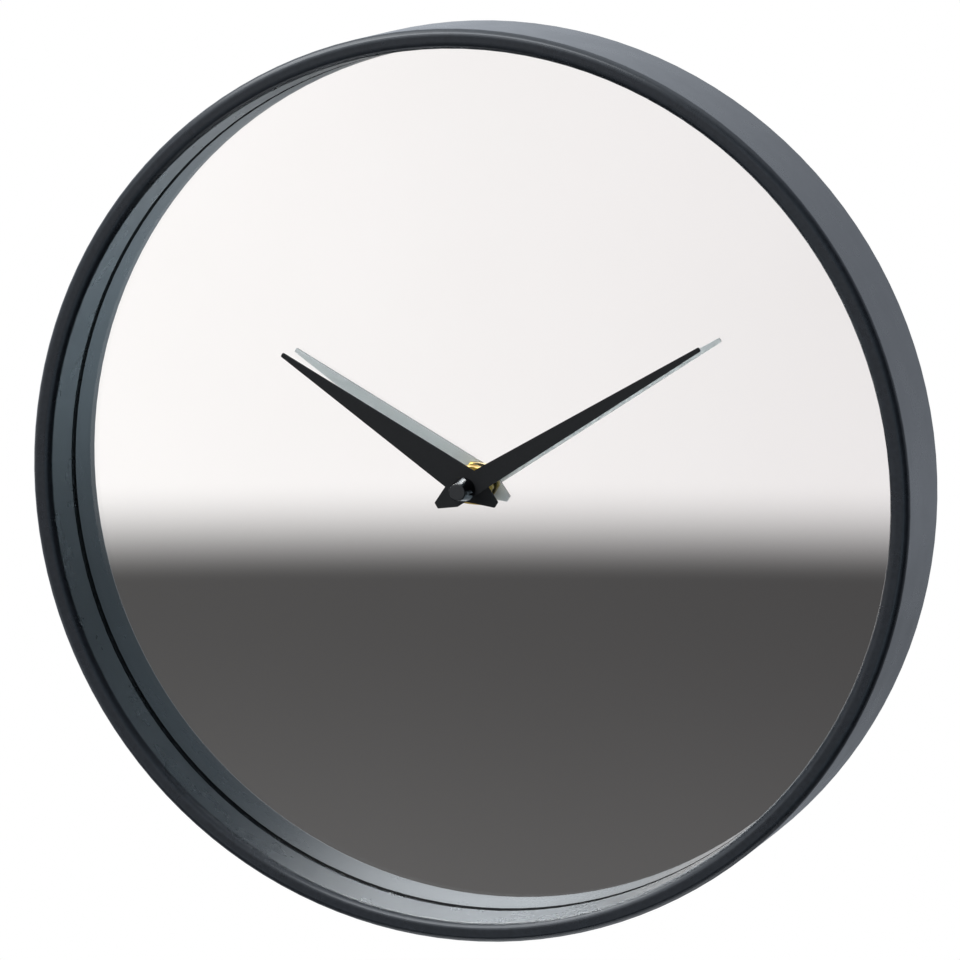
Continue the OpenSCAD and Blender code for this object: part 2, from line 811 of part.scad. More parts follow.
module battery_contact_positive() {
  plate_front = battery_y - contact_w / 2;
  color([0.78, 0.79, 0.80])
    union() {
      strip(plate_front, plate_front + contact_w, [positive_x, battery_z - contact_w / 2],
            [positive_x + contact_t, partition_z]);
      strip(plate_front, plate_front + strip_w, [positive_x, partition_z - eps],
            [positive_x + contact_t, positive_strip_z + contact_t]);
      strip(strip_front, plate_front + strip_w, [positive_x - strip_w, positive_strip_z],
            [positive_x + contact_t, positive_strip_z + contact_t]);
      strip(strip_front, strip_back, [positive_strip_x, positive_strip_z],
            [positive_x, positive_strip_z + contact_t]);
      strip(strip_front, strip_back, [positive_strip_x, positive_strip_z],
            [positive_strip_x + contact_t, strip_end_z]);
    }
}

module battery_contact_negative() {
  plate_front = battery_y - contact_w / 2;
  leaf_low = battery_z - contact_w / 2;
  color([0.78, 0.79, 0.80])
    union() {
      strip(plate_front, plate_front + contact_w, [negative_x, leaf_low],
            [negative_x + contact_t, partition_z]);
      strip(strip_front, plate_front + strip_w, [negative_x, partition_z - strip_w],
            [negative_x + contact_t, partition_z + strip_w]);
      strip(strip_front, strip_back, [negative_x, partition_z],
            [negative_x + contact_t, strip_end_z]);
      slab(plate_front, plate_front + contact_w)
        polygon([[negative_x, leaf_low], [negative_x + contact_t, leaf_low],
                 [-battery_l / 2 - contact_gap, battery_z],
                 [negative_x + 3 * contact_t, leaf_low + contact_w],
                 [negative_x + 2 * contact_t, leaf_low + contact_w],
                 [-battery_l / 2 - contact_gap - contact_t, battery_z]]);
    }
}

module circuit_board() {
  color([0.12, 0.33, 0.20])
    difference() {
      slab(board_front, board_back)
        translate(board_low)
          square(board_size);
      for (at = board_pins)
        rod(board_front - 1, board_back + 1, pin_r + fit_gap, at);
    }
}

module quartz_crystal() {
  color([0.75, 0.76, 0.77])
    translate([crystal_at[0] - crystal_l / 2, board_back + crystal_r + crystal_gap, crystal_at[1]])
      rotate([0, 90, 0])
        cylinder(h = crystal_l, r = crystal_r);
}

module control_chip() {
  dome_r = (chip_r * chip_r + chip_h * chip_h) / (2 * chip_h);
  color([0.05, 0.05, 0.05])
    translate([chip_at[0], 0, chip_at[1]])
      turned(concat([[0, board_back]],
        arc([0, board_back + chip_h - dome_r], dome_r, asin((dome_r - chip_h) / dome_r), 90)));
}

// Motor

// Places children along the coil's axis, with their Z axis along X
module on_coil(x) {
  translate([rotor_axis[0] + x, core_y, coil_z])
    rotate([0, 90, 0])
      children();
}

module coil_bobbin() {
  color([0.85, 0.83, 0.76])
    difference() {
      union() {
        on_coil(-coil_half_l)
          cylinder(h = 2 * coil_half_l, r = coil_tube_r);
        for (x = [-coil_half_l, coil_half_l - coil_flange_t])
          on_coil(x)
            cylinder(h = coil_flange_t, r = coil_flange_r);
      }
      on_coil(0)
        cube([core_w + 2 * fit_gap, core_t + 2 * fit_gap, 4 * coil_half_l], center = true);
    }
}

module coil_winding() {
  wind_l = coil_half_l - coil_flange_t - fit_gap;
  color([0.72, 0.39, 0.20])
    difference() {
      on_coil(-wind_l)
        cylinder(h = 2 * wind_l, r = coil_r);
      on_coil(-wind_l - 1)
        cylinder(h = 2 * wind_l + 2, r = coil_tube_r + fit_gap);
    }
}

module coil_core() {
  color([0.60, 0.61, 0.63])
    difference() {
      slab(stator_back, core_back)
        translate([rotor_axis[0], coil_z])
          square([2 * stator_half_l, core_w], center = true);
      for (x = [-1, 1])
        rod(stator_back - 1, core_back + 1, pin_r + fit_gap,
            [rotor_axis[0] + x * (stator_half_l - stator_arm_w / 2), coil_z]);
    }
}

module stator() {
  arm_l = coil_z + core_w / 2 - rotor_axis[1];
  color([0.60, 0.61, 0.63])
    difference() {
      slab(stator_front, stator_back)
        translate(rotor_axis) {
          square([2 * stator_half_l, 2 * stator_half_w], center = true);
          for (x = [-stator_half_l, stator_half_l - stator_arm_w])
            translate([x, 0])
              square([stator_arm_w, arm_l]);
        }
      rod(stator_front - 1, stator_back + 1, stator_hole_r, rotor_axis);
      for (x = [-1, 1])
        rod(stator_front - 1, stator_back + 1, pin_r + fit_gap,
            [rotor_axis[0] + x * (stator_half_l - stator_arm_w / 2), coil_z]);
    }
}

module rotor_magnet() {
  color([0.25, 0.25, 0.27])
    difference() {
      rod(magnet_front, magnet_back, magnet_d / 2, rotor_axis);
      rod(magnet_front - 1, magnet_back + 1, pivot_r + fit_gap, rotor_axis);
    }
}

module rotor_pinion() {
  color([0.88, 0.87, 0.82])
    union() {
      rod(post_bottom + running_gap, pivot_back, pivot_r, rotor_axis);
      gear(rotor_pinion_front, rotor_pinion_back, rotor_teeth, rotor_module, rotor_turn, rotor_axis);
      rod(magnet_back, rotor_pinion_front + eps, root_r(rotor_teeth, rotor_module), rotor_axis);
    }
}

// Train

module fifth_wheel() {
  color([0.88, 0.87, 0.82])
    union() {
      rod(post_bottom + running_gap, pivot_back, pivot_r, fifth_axis);
      gear(fifth_pinion_front, fifth_front + eps, fifth_pinion_teeth, second_module,
           fifth_pinion_turn, fifth_axis);
      gear(fifth_front, fifth_back, fifth_teeth, rotor_module, 0, fifth_axis);
    }
}

module second_wheel() {
  color([0.88, 0.87, 0.82])
    union() {
      rod(minute_hand_back + layer_gap, pivot_back, second_shaft_r);
      gear(second_pinion_front, second_front + eps, second_pinion_teeth, third_module, 0);
      gear(second_front, second_back, second_teeth, second_module, 0);
    }
}

module third_wheel() {
  color([0.88, 0.87, 0.82])
    union() {
      rod(post_bottom + running_gap, pivot_back, pivot_r, third_axis);
      gear(third_pinion_front, third_front + eps, third_pinion_teeth, centre_module,
           third_pinion_turn, third_axis);
      gear(third_front, third_back, third_teeth, third_module, third_turn, third_axis);
    }
}

module centre_wheel() {
  color([0.88, 0.87, 0.82])
    difference() {
      gear(centre_front, centre_back, centre_teeth, centre_module, 0);
      rod(centre_front - 1, centre_back + 1, arbor_r + running_gap);
    }
}

module clutch_spring() {
  inner_r = arbor_r + fit_gap;
  spring_back = centre_front - running_gap;
  color([0.75, 0.76, 0.77])
    turned([[inner_r, cannon_back], [inner_r + spring_w, spring_back - spring_t],
            [inner_r + spring_w, spring_back], [inner_r, cannon_back + spring_t]]);
}

// Motion work

module minute_arbor() {
  color([0.80, 0.66, 0.36])
    difference() {
      union() {
        rod(minute_hand_back, arbor_back, arbor_r);
        rod(neck_front, minute_hand_back + eps, neck_r);
        rod(rivet_front, arbor_back, arbor_r + rivet_w);
        gear(cannon_front, cannon_back, cannon_teeth, cannon_module, 0);
      }
      rod(minute_hand_back, arbor_back + 1, second_shaft_r + running_gap);
    }
}

module minute_wheel() {
  color([0.88, 0.87, 0.82])
    difference() {
      union() {
        gear(hour_wheel_front, minute_wheel_front + eps, minute_pinion_teeth, hour_module,
             minute_pinion_turn, minute_axis);
        gear(minute_wheel_front, minute_wheel_back, minute_teeth, cannon_module, minute_turn, minute_axis);
      }
      rod(hour_wheel_front - 1, minute_wheel_back + 1, pivot_r + post_skin + running_gap, minute_axis);
    }
}

module hour_wheel() {
  color([0.88, 0.87, 0.82])
    difference() {
      union() {
        gear(hour_wheel_front, hour_wheel_back, hour_teeth, hour_module, 0);
        rod(pipe_front, hour_wheel_back, pipe_r);
      }
      rod(pipe_front - 1, hour_wheel_back + 1, arbor_r + running_gap);
    }
}

case_ring();
mirror();
back_tray();
tray_screws();
hanger_plate();
hanger_screws();
hour_hand();
minute_hand();
hand_cap();
fixing_nut();
fixing_washer();
threaded_bush();
mirror_gasket();
movement_case();
movement_cover();
setting_knob();
aa_battery();
battery_contact_positive();
battery_contact_negative();
circuit_board();
quartz_crystal();
control_chip();
coil_bobbin();
coil_winding();
coil_core();
stator();
rotor_magnet();
rotor_pinion();
fifth_wheel();
second_wheel();
third_wheel();
centre_wheel();
clutch_spring();
minute_arbor();
minute_wheel();
hour_wheel();
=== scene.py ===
"""Looks of the mirror clock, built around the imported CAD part.

Lengths are metres in the CAD's frame: the front faces -Y, 12 o'clock is +Z and the wall is y = 0.
"""

import math

import bmesh
import bpy
from mathutils import Matrix, Vector


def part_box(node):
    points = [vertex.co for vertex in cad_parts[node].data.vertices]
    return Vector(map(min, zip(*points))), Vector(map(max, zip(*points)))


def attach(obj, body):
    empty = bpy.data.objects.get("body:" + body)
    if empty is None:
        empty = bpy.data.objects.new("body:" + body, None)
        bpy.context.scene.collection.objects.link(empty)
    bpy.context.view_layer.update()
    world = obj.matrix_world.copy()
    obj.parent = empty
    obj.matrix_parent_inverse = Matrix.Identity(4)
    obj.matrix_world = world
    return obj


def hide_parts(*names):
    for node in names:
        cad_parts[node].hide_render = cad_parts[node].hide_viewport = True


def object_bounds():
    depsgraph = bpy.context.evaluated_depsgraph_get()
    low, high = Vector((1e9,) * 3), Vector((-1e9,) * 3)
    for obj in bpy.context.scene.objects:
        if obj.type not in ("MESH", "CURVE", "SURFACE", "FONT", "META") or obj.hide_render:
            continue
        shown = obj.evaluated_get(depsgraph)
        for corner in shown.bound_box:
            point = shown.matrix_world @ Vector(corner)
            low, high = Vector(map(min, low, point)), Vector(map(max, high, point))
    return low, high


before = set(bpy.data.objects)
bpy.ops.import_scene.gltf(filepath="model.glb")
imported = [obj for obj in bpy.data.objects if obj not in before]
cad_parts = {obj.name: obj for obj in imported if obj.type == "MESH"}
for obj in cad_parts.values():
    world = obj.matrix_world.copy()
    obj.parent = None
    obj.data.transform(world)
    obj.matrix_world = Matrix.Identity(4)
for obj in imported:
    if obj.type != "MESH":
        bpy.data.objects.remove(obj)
cad_low, cad_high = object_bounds()

MM = 0.001

# Photograph: viewing angle, focal length in pixels and the pixel of the front plane's centre
PHOTO_SIZE = 960
PHOTO_FOCAL = 4624
PHOTO_CENTRE = (456.6, 492.7)
VIEW_AZIMUTH = math.radians(18.64)
VIEW_ELEVATION = math.radians(9.27)
VIEW_DISTANCE = 1.5
SENSOR_MM = 36

# Turned pieces: steps around, and the angle from which an edge stays sharp
MIRROR_STEPS = 256
CELL_STEPS = 96
SHARP_ANGLE = math.radians(30)

# Mirror: thickness of its coat, how far that reaches into the glass, and the glass's ground edges
COAT_T = 0.04 * MM
COAT_SUNK = 0.01 * MM
GLASS_BEVEL = 0.35 * MM

# AA cell in mm: outline of the can and the sleeve at the negative and at the positive end, each
# point as its radius and its distance from that end, and the pale ring, from the positive end
CAN_ENDS = (((0, 0.3), (3.2, 0.3), (3.6, 0), (5.3, 0), (5.6, 0.15), (6.6, 0.25), (6.84, 0.95)),
            ((6.84, 2), (6.58, 1.32), (4.6, 1.25), (4.3, 1.5), (3.4, 1.5), (3.1, 1.2), (2.75, 1),
             (2.75, 0.3), (2.45, 0), (0, 0)))
SLEEVE_ENDS = (((6.85, 0.95), (6.6, 0.22), (6, 0.2), (6, 0.1), (6.65, 0.12), (6.92, 0.45), (7, 0.95)),
               ((7, 2), (6.92, 1.45), (6.65, 1.15), (5.9, 1.1), (5.9, 1.2), (6.6, 1.3), (6.85, 2)))
PALE_RING = (7.9, 11.1)
PALE_RING_BLUR = 0.1

# Textures: spans of a noise's values that are used, the share of the tone in a plastic's streaks,
# and how dense the winding's waves and the circuit board's bricks are
NOISE_SPAN = (0.3, 0.7)
FLOW_SPAN = (0.35, 0.65)
FLOW_TONE = 0.9
WINDING_SCALE = 1500
TRACK_SCALE = 250
# Share of the normal along Y, from where a side of a piece begins to where it has its full look
HAND_BACK = (0.2, 0.8)
CAP_SIDE = (-1, -0.8)

# Studio: the floor lies far below the hanging clock, and light comes from all round, by direction.
# A direction is a unit vector, so that a place along X, Y or Z is the sine of an angle.
FLOOR_Z = -2.4
FLOOR_R = 1.2
FLOOR_STEPS = 96
WHITE = (1, 1, 1, 1)
WARM = (1.02, 0.99, 0.985)
COOL = (0.86, 0.94, 1.0)
# Front light by height (Z, brightness, tint), left and right of the place along X where they meet
FRONT_LEFT = ((-0.60, 0.08, COOL), (-0.45, 1.1, COOL), (-0.29, 1.25, COOL), (-0.265, 0.13, WARM),
              (-0.180, 0.085, WARM), (-0.158, 1.03, WARM), (-0.06, 1.03, WARM), (0.06, 0.75, COOL))
FRONT_RIGHT = ((-0.60, 0.08, COOL), (-0.45, 1.1, COOL), (-0.25, 1.2, COOL), (-0.10, 0.85, COOL),
               (0.08, 0.6, COOL), (0.34, 0.62, COOL), (0.52, 0.25, COOL))
FRONT_MIDDLE = (0.02, 0.20)
# Its change from left to right: start and end along X, and the share of it from there on
FRONT_FADES = ((-0.40, -0.20, (0.80, 0.79, 0.80)),
               (-0.16, 0.16, (0.98, 1.15, 1.24)),
               (0.42, 0.72, (0.04, 0.04, 0.04)))
# Soft boxes: light, and edges given by axis, where the box begins and where it has its full light
SOFT_BOXES = (((2.45, 2.6, 2.75, 1), (("Z", 0.05, 0.19), ("X", -0.85, -0.70), ("X", 0.0, -0.20))),
              ((13.0, 13.3, 13.5, 1), (("Z", 0.51, 0.65), ("X", -0.85, -0.70), ("X", 0.10, -0.10))))
# Rear light, with its change along X and down along Z, and where it takes over along Y
REAR_LIGHT = (0.9, 0.97, 1.07, 1)
REAR_FADE = (-0.30, 0.35, (0.62, 0.63, 0.65))
REAR_LOW = (-0.16, -0.31, (0.5, 0.5, 0.5))
REAR_EDGE = (0.0, 0.3)
# Top light, and where it takes over along Z
TOP_LIGHT = (2.1, 2.25, 2.4, 1)
TOP_EDGE = (0.7, 0.95)

# Sockets of a Mix node that mixes colours
MIX_FACTOR = 0
MIX_FIRST = 6
MIX_SECOND = 7
MIX_RESULT = 2


# Materials


class Nodes:
    """Builder for a tree of shader nodes."""

    def __init__(self, tree):
        self.tree = tree

    def put(self, socket, value):
        """Links a socket to another one, or gives it a value."""
        if isinstance(value, bpy.types.NodeSocket):
            self.tree.links.new(value, socket)
        else:
            socket.default_value = value

    def add(self, kind, **inputs):
        node = self.tree.nodes.new(kind)
        for name, value in inputs.items():
            self.put(node.inputs[name.replace("_", " ")], value)
        return node

    def scaled(self, value, low, high, new_low=0.0, new_high=1.0):
        node = self.add("ShaderNodeMapRange", Value=value, From_Min=low, From_Max=high,
                        To_Min=new_low, To_Max=new_high)
        return node.outputs["Result"]

    def mixed(self, factor, first, second, blend="MIX"):
        node = self.tree.nodes.new("ShaderNodeMix")
        node.data_type = "RGBA"
        node.blend_type = blend
        for number, value in ((MIX_FACTOR, factor), (MIX_FIRST, first), (MIX_SECOND, second)):
            self.put(node.inputs[number], value)
        return node.outputs[MIX_RESULT]


class Look(Nodes):
    """A principled material whose colour, roughness and relief come from textures in object space."""

    def __init__(self, name, **sockets):
        self.material = bpy.data.materials.new(name)
        self.material.use_nodes = True
        super().__init__(self.material.node_tree)
        self.shader = self.tree.nodes["Principled BSDF"]
        self.place = self.add("ShaderNodeTexCoord").outputs["Object"]
        for socket, value in sockets.items():
            self.shader.inputs[socket.replace("_", " ")].default_value = value

    def feed(self, socket, value):
        self.tree.links.new(value, self.shader.inputs[socket])

    def noise(self, grain, detail=3, stretch=(1, 1, 1)):
        """Noise with patches of about the length grain."""
        place = self.add("ShaderNodeMapping", Vector=self.place, Scale=stretch).outputs["Vector"]
        noise = self.add("ShaderNodeTexNoise", Vector=place, Scale=0.5 / grain, Detail=detail)
        return noise.outputs["Fac"]

    def cells(self, grain):
        """Random value for each crystal of about the length grain."""
        cells = self.add("ShaderNodeTexVoronoi", Vector=self.place, Scale=1 / grain)
        return self.add("ShaderNodeSeparateColor", Color=cells.outputs["Color"]).outputs["Red"]

    def axis(self, name):
        """Object coordinate along X, Y or Z."""
        return self.add("ShaderNodeSeparateXYZ", Vector=self.place).outputs[name]

    def facing(self, name):
        """Share of the surface's normal along X, Y or Z."""
        normal = self.add("ShaderNodeNewGeometry").outputs["Normal"]
        return self.add("ShaderNodeSeparateXYZ", Vector=normal).outputs[name]

    def colour(self, texture, dark, bright, span=NOISE_SPAN):
        """Colour between dark and bright by the texture."""
        return self.mixed(self.scaled(texture, *span), (*dark, 1), (*bright, 1))

    def rough(self, texture, low, high):
        self.feed("Roughness", self.scaled(texture, *NOISE_SPAN, low, high))

    def relief(self, texture, height, strength=1.0):
        bump = self.add("ShaderNodeBump", Height=texture, Distance=height, Strength=strength)
        self.feed("Normal", bump.outputs["Normal"])


def satin_paint():
    """Dark paint with a fine speckle and wide, faint clouds."""
    look = Look("anthracite_paint", IOR=1.38, Specular_Tint=(0.93, 0.96, 1.0, 1))
    speckle = look.noise(0.7 * MM, 2)
    tone = look.colour(speckle, (0.0045, 0.0052, 0.0066), (0.0085, 0.0098, 0.0125))
    cloud = look.scaled(look.noise(30 * MM), *NOISE_SPAN, 0, 0.35)
    look.feed("Base Color", look.mixed(cloud, tone, (0.0065, 0.0078, 0.0105, 1)))
    look.rough(look.noise(6 * MM), 0.265, 0.295)
    look.relief(look.noise(1.5 * MM, 1), 0.003 * MM, 0.2)
    return look.material


def clear_glass():
    look = Look("clear_glass", IOR=1.52, Transmission_Weight=1.0)
    tone = look.colour(look.noise(80 * MM), (0.975, 0.99, 0.985), (0.985, 0.995, 0.99))
    look.feed("Base Color", tone)
    look.rough(look.noise(6 * MM), 0.0, 0.004)
    return look.material


def silver():
    look = Look("silver_coat", Metallic=1.0)
    tone = look.colour(look.noise(50 * MM), (0.955, 0.95, 0.945), (0.975, 0.972, 0.97))
    look.feed("Base Color", tone)
    look.rough(look.noise(9 * MM), 0.0, 0.006)
    return look.material


def backing_paint():
    look = Look("mirror_backing", IOR=1.5)
    tone = look.colour(look.noise(3 * MM), (0.13, 0.15, 0.15), (0.17, 0.19, 0.19))
    look.feed("Base Color", tone)
    look.rough(look.noise(1 * MM), 0.55, 0.7)
    look.relief(look.noise(0.5 * MM), 0.02 * MM, 0.5)
    return look.material


def hand_sheet():
    """Aluminium sheet, painted matt black in front and on its edges and primed white on its back."""
    look = Look("hand_sheet", IOR=1.26)
    grain = look.noise(0.15 * MM, 4)
    brushed = look.noise(0.2 * MM, 2, (1, 1, 0.04))
    primed = look.scaled(look.facing("Y"), *HAND_BACK)
    black = look.colour(grain, (0.002, 0.002, 0.0023), (0.006, 0.006, 0.0064))
    white = look.colour(brushed, (0.955, 0.985, 0.978), (0.975, 0.995, 0.99))
    look.feed("Base Color", look.mixed(primed, black, white))
    look.feed("Roughness", look.scaled(primed, 0, 1, 0.52, 0.45))
    look.relief(grain, 0.008 * MM, 0.4)
    return look.material


def cap_gloss():
    """Black cap with glossy sides and a duller face; the face's lighter base colour is a painted
    reflection of the grey surroundings.
    """
    look = Look("cap_gloss", IOR=1.32)
    side = look.scaled(look.facing("Y"), *CAP_SIDE)
    black = look.colour(look.noise(0.8 * MM), (0.001, 0.001, 0.0012), (0.002, 0.002, 0.0024))
    # The face gets a lighter black than the sides: painted reflection, while its duller roughness is
    # real.
    look.feed("Base Color", look.mixed(side, (0.010, 0.010, 0.0105, 1), black))
    look.feed("Roughness", look.scaled(side, 0, 1, 0.5, 0.13))
    look.relief(look.noise(1.2 * MM), 0.01 * MM, 0.2)
    return look.material


def turned_brass():
    look = Look("turned_brass", Metallic=1.0)
    stain = look.noise(2.5 * MM)
    look.feed("Base Color", look.colour(stain, (0.41, 0.27, 0.06), (0.56, 0.40, 0.11)))
    look.rough(look.noise(0.5 * MM), 0.28, 0.40)
    look.relief(look.noise(0.12 * MM, 2, (1, 6, 1)), 0.006 * MM, 0.5)
    return look.material


def moulded(name, dark, bright, grain, low, high):
    """Plastic with a spark-eroded surface from its mould, and with darker streaks of its flow."""
    look = Look(name, IOR=1.49)
    texture = look.noise(grain, 4)
    tone = look.colour(texture, dark, bright)
    flow = look.scaled(look.noise(25 * MM, 2, (1, 1, 0.4)), *FLOW_SPAN, 0, 0.4)
    streak = [FLOW_TONE * (a + b) / 2 for a, b in zip(dark, bright)]
    look.feed("Base Color", look.mixed(flow, tone, (*streak, 1)))
    look.rough(look.noise(4 * MM), low, high)
    look.relief(texture, 0.03 * MM, 0.6)
    return look.material


def plated(name, dark, bright, low, high, spangle=None):
    """Plated sheet or wire, with the crystals of its zinc where spangle gives their size."""
    look = Look(name, Metallic=1.0)
    if spangle:
        tone = look.colour(look.cells(spangle), dark, bright, (0, 1))
    else:
        tone = look.colour(look.noise(1.2 * MM), dark, bright)
    look.feed("Base Color", tone)
    look.rough(look.noise(0.8 * MM), low, high)
    look.relief(look.noise(0.2 * MM, 2, (0.2, 1, 1)), 0.006 * MM, 0.4)
    return look.material


def copper_winding():
    """Enamelled wire in turns along X; its colour goes from dark between the turns to bright on their
    tops, painted shade and highlight.
    """
    look = Look("copper_winding", Metallic=0.8)
    turns = look.add("ShaderNodeTexWave", Vector=look.place, Scale=WINDING_SCALE).outputs["Fac"]
    # Colour follows the turns: the dark between them is painted shade, the bright on their tops is
    # painted highlight.
    look.feed("Base Color", look.colour(turns, (0.35, 0.10, 0.03), (0.75, 0.30, 0.12), (0, 1)))
    look.rough(look.noise(0.5 * MM), 0.25, 0.4)
    look.relief(turns, 0.05 * MM)
    return look.material


def solder_mask():
    """Circuit board with pale tracks under its green lacquer."""
    look = Look("solder_mask", IOR=1.5)
    tracks = look.add("ShaderNodeTexBrick", Vector=look.place, Scale=TRACK_SCALE,
                      Color1=(0.02, 0.11, 0.05, 1), Color2=(0.02, 0.13, 0.06, 1),
                      Mortar=(0.05, 0.22, 0.10, 1))
    look.feed("Base Color", tracks.outputs["Color"])
    look.rough(look.noise(1 * MM), 0.25, 0.4)
    return look.material


def sleeve_film(positive_end):
    """Printed film in slate blue, with a pale ring at the positive end."""
    look = Look("sleeve_film", IOR=1.5, Coat_Weight=0.4, Coat_Roughness=0.12)
    flecks = look.noise(0.12 * MM, 2)
    blue = look.colour(flecks, (0.028, 0.058, 0.105), (0.040, 0.078, 0.135))
    pale = look.colour(flecks, (0.50, 0.52, 0.53), (0.58, 0.60, 0.61))
    along = look.axis("X")
    near, far = (positive_end - distance * MM for distance in PALE_RING)
    blur = PALE_RING_BLUR * MM
    ring = look.scaled(along, near - blur, near, look.scaled(along, far, far + blur), 0)
    look.feed("Base Color", look.mixed(ring, blue, pale))
    look.rough(look.noise(3 * MM), 0.3, 0.4)
    look.relief(look.noise(1.5 * MM, 2, (0.1, 1, 1)), 0.01 * MM, 0.4)
    return look.material


looks = {
    "case_finish": satin_paint(),
    "mirror_glass": clear_glass(),
    "tray_plastic": moulded("tray_plastic_black", (0.010, 0.010, 0.011), (0.021, 0.021, 0.023),
                            0.35 * MM, 0.5, 0.6),
    "screw_steel": plated("zinc_screw", (0.42, 0.43, 0.46), (0.62, 0.63, 0.66), 0.28, 0.42),
    "hanger_steel": plated("zinc_sheet", (0.50, 0.52, 0.54), (0.72, 0.73, 0.75), 0.3, 0.46, 3 * MM),
    "hand_aluminium": hand_sheet(),
    "cap_plastic": cap_gloss(),
    "brass": turned_brass(),
    "gasket_rubber": moulded("black_rubber", (0.010, 0.010, 0.010), (0.020, 0.020, 0.020),
                             0.3 * MM, 0.7, 0.85),
    "movement_plastic": moulded("movement_black", (0.008, 0.008, 0.009), (0.016, 0.016, 0.018),
                                0.2 * MM, 0.36, 0.48),
    "knob_plastic": moulded("knob_ivory", (0.46, 0.45, 0.40), (0.58, 0.57, 0.52),
                            0.25 * MM, 0.36, 0.48),
    "battery_can": plated("nickel_can", (0.60, 0.59, 0.56), (0.74, 0.73, 0.70), 0.2, 0.32),
    "contact_steel": plated("nickel_strip", (0.62, 0.62, 0.60), (0.78, 0.77, 0.74), 0.2, 0.35),
    "board": solder_mask(),
    "crystal_can": plated("crystal_can_tin", (0.62, 0.63, 0.64), (0.76, 0.77, 0.78), 0.2, 0.3),
    "chip_resin": moulded("epoxy_black", (0.008, 0.008, 0.008), (0.018, 0.018, 0.018),
                          0.4 * MM, 0.25, 0.4),
    "bobbin_plastic": moulded("bobbin_white", (0.62, 0.62, 0.60), (0.74, 0.74, 0.72),
                              0.3 * MM, 0.4, 0.5),
    "copper_wire": copper_winding(),
    "stator_iron": plated("stator_sheet", (0.30, 0.31, 0.33), (0.42, 0.43, 0.45), 0.35, 0.5),
    "magnet": moulded("magnet_grey", (0.05, 0.05, 0.055), (0.09, 0.09, 0.095),
                      0.2 * MM, 0.45, 0.6),
    "gear_plastic": moulded("gear_acetal", (0.62, 0.60, 0.52), (0.74, 0.72, 0.64),
                            0.2 * MM, 0.38, 0.5),
    "spring_steel": plated("spring_bronze", (0.55, 0.42, 0.28), (0.70, 0.55, 0.38), 0.25, 0.4),
}


# Pieces


def points_around(shape, radius, y, steps):
    """Ring of points about the Y axis, or one point on the axis, given once for each step."""
    if radius == 0:
        return [shape.verts.new((0, y, 0))] * steps
    turns = [2 * math.pi * i / steps for i in range(steps)]
    return [shape.verts.new((radius * math.cos(a), y, radius * math.sin(a))) for a in turns]


def lathe(name, profile, looks_used, steps, stretch_looks=None, place=Matrix()):
    """Solid of revolution about the Y axis from (radius, y) points, moved to its place.

    The profile is a loop, unless it starts and ends on the axis. stretch_looks gives each
    stretch of the profile its place in looks_used.
    """
    shape = bmesh.new()
    rings = [points_around(shape, r, y, steps) for r, y in profile]
    starts_on_axis = profile[0][0] == 0
    followers = rings[1:] if starts_on_axis else rings[1:] + rings[:1]
    for stretch, (ring, follower) in enumerate(zip(rings, followers)):
        for i in range(steps):
            j = (i + 1) % steps
            corners = dict.fromkeys((ring[i], ring[j], follower[j], follower[i]))
            face = shape.faces.new(list(corners))
            face.smooth = True
            face.material_index = stretch_looks[stretch] if stretch_looks else 0
    bmesh.ops.recalc_face_normals(shape, faces=shape.faces)
    shape.transform(place)
    mesh = bpy.data.meshes.new(name)
    shape.to_mesh(mesh)
    shape.free()
    mesh.set_sharp_from_angle(angle=SHARP_ANGLE)
    for look in looks_used:
        mesh.materials.append(look)
    piece = bpy.data.objects.new(name, mesh)
    bpy.context.scene.collection.objects.link(piece)
    return piece


def bevelled_disc(hole_r, edge_r, front, back, bevel):
    """Profile of a disc with a hole, with its four edges ground off."""
    return [(hole_r + bevel, front), (edge_r - bevel, front),
            (edge_r, front + bevel), (edge_r, back - bevel),
            (edge_r - bevel, back), (hole_r + bevel, back),
            (hole_r, back - bevel), (hole_r, front + bevel)]


def mirror_pieces():
    """Clear glass with a silvered and painted back, so that reflections start behind the glass."""
    low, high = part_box("mirror")
    hole_r = min(math.hypot(v.co.x, v.co.z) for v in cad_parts["mirror"].data.vertices)
    glass_back = high.y - COAT_T
    glass_profile = bevelled_disc(hole_r, high.x, low.y, glass_back, GLASS_BEVEL)
    glass = lathe("mirror_pane", glass_profile, [looks["mirror_glass"]], MIRROR_STEPS)
    inner, outer = hole_r + GLASS_BEVEL, high.x - GLASS_BEVEL
    coat_front = glass_back - COAT_SUNK
    coat_profile = [(inner, coat_front), (outer, coat_front), (outer, high.y), (inner, high.y)]
    coat = lathe("mirror_coat", coat_profile, [silver(), backing_paint()], MIRROR_STEPS,
                 stretch_looks=(0, 1, 1, 1))
    for piece in (glass, coat):
        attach(piece, "case")
    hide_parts("mirror")


def cell_profile(length, negative_end, positive_end):
    """Profile along the cell, from the outlines of its ends."""
    return ([(r * MM, distance * MM) for r, distance in negative_end]
            + [(r * MM, length - distance * MM) for r, distance in positive_end])


def battery_pieces():
    """AA cell along X: a nickel can with pressed ends, in a sleeve shrunk over both shoulders."""
    low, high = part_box("aa_battery")
    start = Vector((low.x, (low.y + high.y) / 2, (low.z + high.z) / 2))
    place = Matrix.Translation(start) @ Matrix.Rotation(math.radians(-90), 4, "Z")
    for name, ends, look in (("battery_cell", CAN_ENDS, looks["battery_can"]),
                             ("battery_sleeve", SLEEVE_ENDS, sleeve_film(high.x))):
        profile = cell_profile(high.x - low.x, *ends)
        piece = lathe(name, profile, [look], CELL_STEPS, place=place)
        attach(piece, "battery")
        if name == "battery_cell":
            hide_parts("aa_battery")


# Studio


def tinted(brightness, tint):
    return tuple(brightness * share for share in tint) + (1,)


def faded(sky, light, along, start, end, share):
    """Light that goes over to a share of itself between two places along an axis."""
    factor = sky.mixed(sky.scaled(along, start, end), WHITE, (*share, 1))
    return sky.mixed(1.0, light, factor, "MULTIPLY")


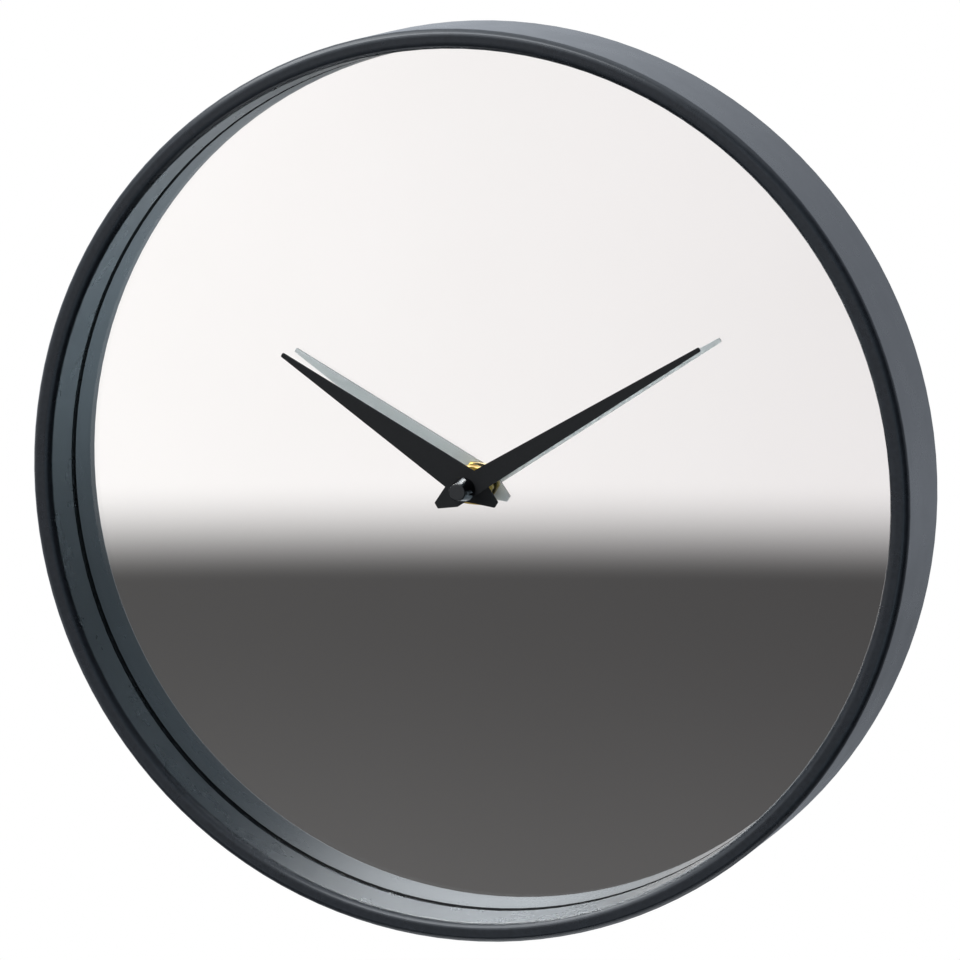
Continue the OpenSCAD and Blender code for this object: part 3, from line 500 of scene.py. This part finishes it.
def by_height(sky, height, stops):
    """Light that goes smoothly from each stop's brightness and tint to the next one's."""
    light = tinted(*stops[0][1:])
    for lower, upper in zip(stops, stops[1:]):
        step = sky.scaled(height, lower[0], upper[0])
        step.node.interpolation_type = "SMOOTHSTEP"
        light = sky.mixed(step, light, tinted(*upper[1:]))
    return light


def front_light(sky, along):
    """Light by height, changed from left to right, with the soft boxes over it."""
    left, right = (by_height(sky, along["Z"], stops) for stops in (FRONT_LEFT, FRONT_RIGHT))
    light = sky.mixed(sky.scaled(along["X"], *FRONT_MIDDLE), left, right)
    for fade in FRONT_FADES:
        light = faded(sky, light, along["X"], *fade)
    for box_light, edges in SOFT_BOXES:
        inside = 1.0
        for axis, outer, inner in edges:
            inside = sky.scaled(along[axis], outer, inner, 0, inside)
        light = sky.mixed(inside, light, box_light)
    return light


def make_world():
    """Soft light all round, stepped in front for the mirror to show, on a white backdrop."""
    world = bpy.data.worlds.new("studio")
    world.use_nodes = True
    sky = Nodes(world.node_tree)
    sky.tree.nodes.clear()
    direction = sky.add("ShaderNodeTexCoord").outputs["Generated"]
    along = sky.add("ShaderNodeSeparateXYZ", Vector=direction).outputs
    rear = faded(sky, faded(sky, REAR_LIGHT, along["X"], *REAR_FADE), along["Z"], *REAR_LOW)
    around = sky.mixed(sky.scaled(along["Y"], *REAR_EDGE), front_light(sky, along), rear)
    light = sky.mixed(sky.scaled(along["Z"], *TOP_EDGE), around, TOP_LIGHT)
    lit = sky.add("ShaderNodeBackground", Color=light).outputs[0]
    backdrop = sky.add("ShaderNodeBackground", Color=WHITE).outputs[0]
    seen_directly = sky.add("ShaderNodeLightPath").outputs["Is Camera Ray"]
    choice = sky.tree.nodes.new("ShaderNodeMixShader")
    for number, value in enumerate((seen_directly, lit, backdrop)):
        sky.put(choice.inputs[number], value)
    sky.add("ShaderNodeOutputWorld", Surface=choice.outputs[0])
    bpy.context.scene.world = world


def make_floor():
    shape = bmesh.new()
    bmesh.ops.create_circle(shape, cap_ends=True, segments=FLOOR_STEPS, radius=FLOOR_R)
    mesh = bpy.data.meshes.new("floor")
    shape.to_mesh(mesh)
    shape.free()
    floor = bpy.data.objects.new("floor", mesh)
    floor.location.z = FLOOR_Z
    bpy.context.scene.collection.objects.link(floor)
    look = Look("pale_floor", IOR=1.4)
    look.feed("Base Color", look.colour(look.noise(400 * MM), (0.86, 0.86, 0.86), (0.9, 0.9, 0.9)))
    look.rough(look.noise(50 * MM), 0.75, 0.85)
    mesh.materials.append(look.material)


def make_camera():
    """Camera at the photograph's angle; its shift puts the front plane's centre on its pixel."""
    target = Vector((0, cad_low.y, 0))
    back = Vector((math.sin(VIEW_AZIMUTH) * math.cos(VIEW_ELEVATION),
                   -math.cos(VIEW_AZIMUTH) * math.cos(VIEW_ELEVATION),
                   math.sin(VIEW_ELEVATION)))
    data = bpy.data.cameras.new("camera")
    data.sensor_width = SENSOR_MM
    data.lens = PHOTO_FOCAL / PHOTO_SIZE * SENSOR_MM
    data.shift_x = 0.5 - PHOTO_CENTRE[0] / PHOTO_SIZE
    data.shift_y = PHOTO_CENTRE[1] / PHOTO_SIZE - 0.5
    camera = bpy.data.objects.new("camera", data)
    camera.location = target + back * VIEW_DISTANCE
    camera.rotation_mode = "QUATERNION"
    camera.rotation_quaternion = (-back).to_track_quat("-Z", "Y")
    bpy.context.scene.collection.objects.link(camera)
    bpy.context.scene.camera = camera


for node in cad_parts.values():
    for slot in node.material_slots:
        slot.material = looks[slot.material.name]

mirror_pieces()
battery_pieces()
make_world()
make_floor()
make_camera()
bpy.context.scene.view_settings.view_transform = "Standard"
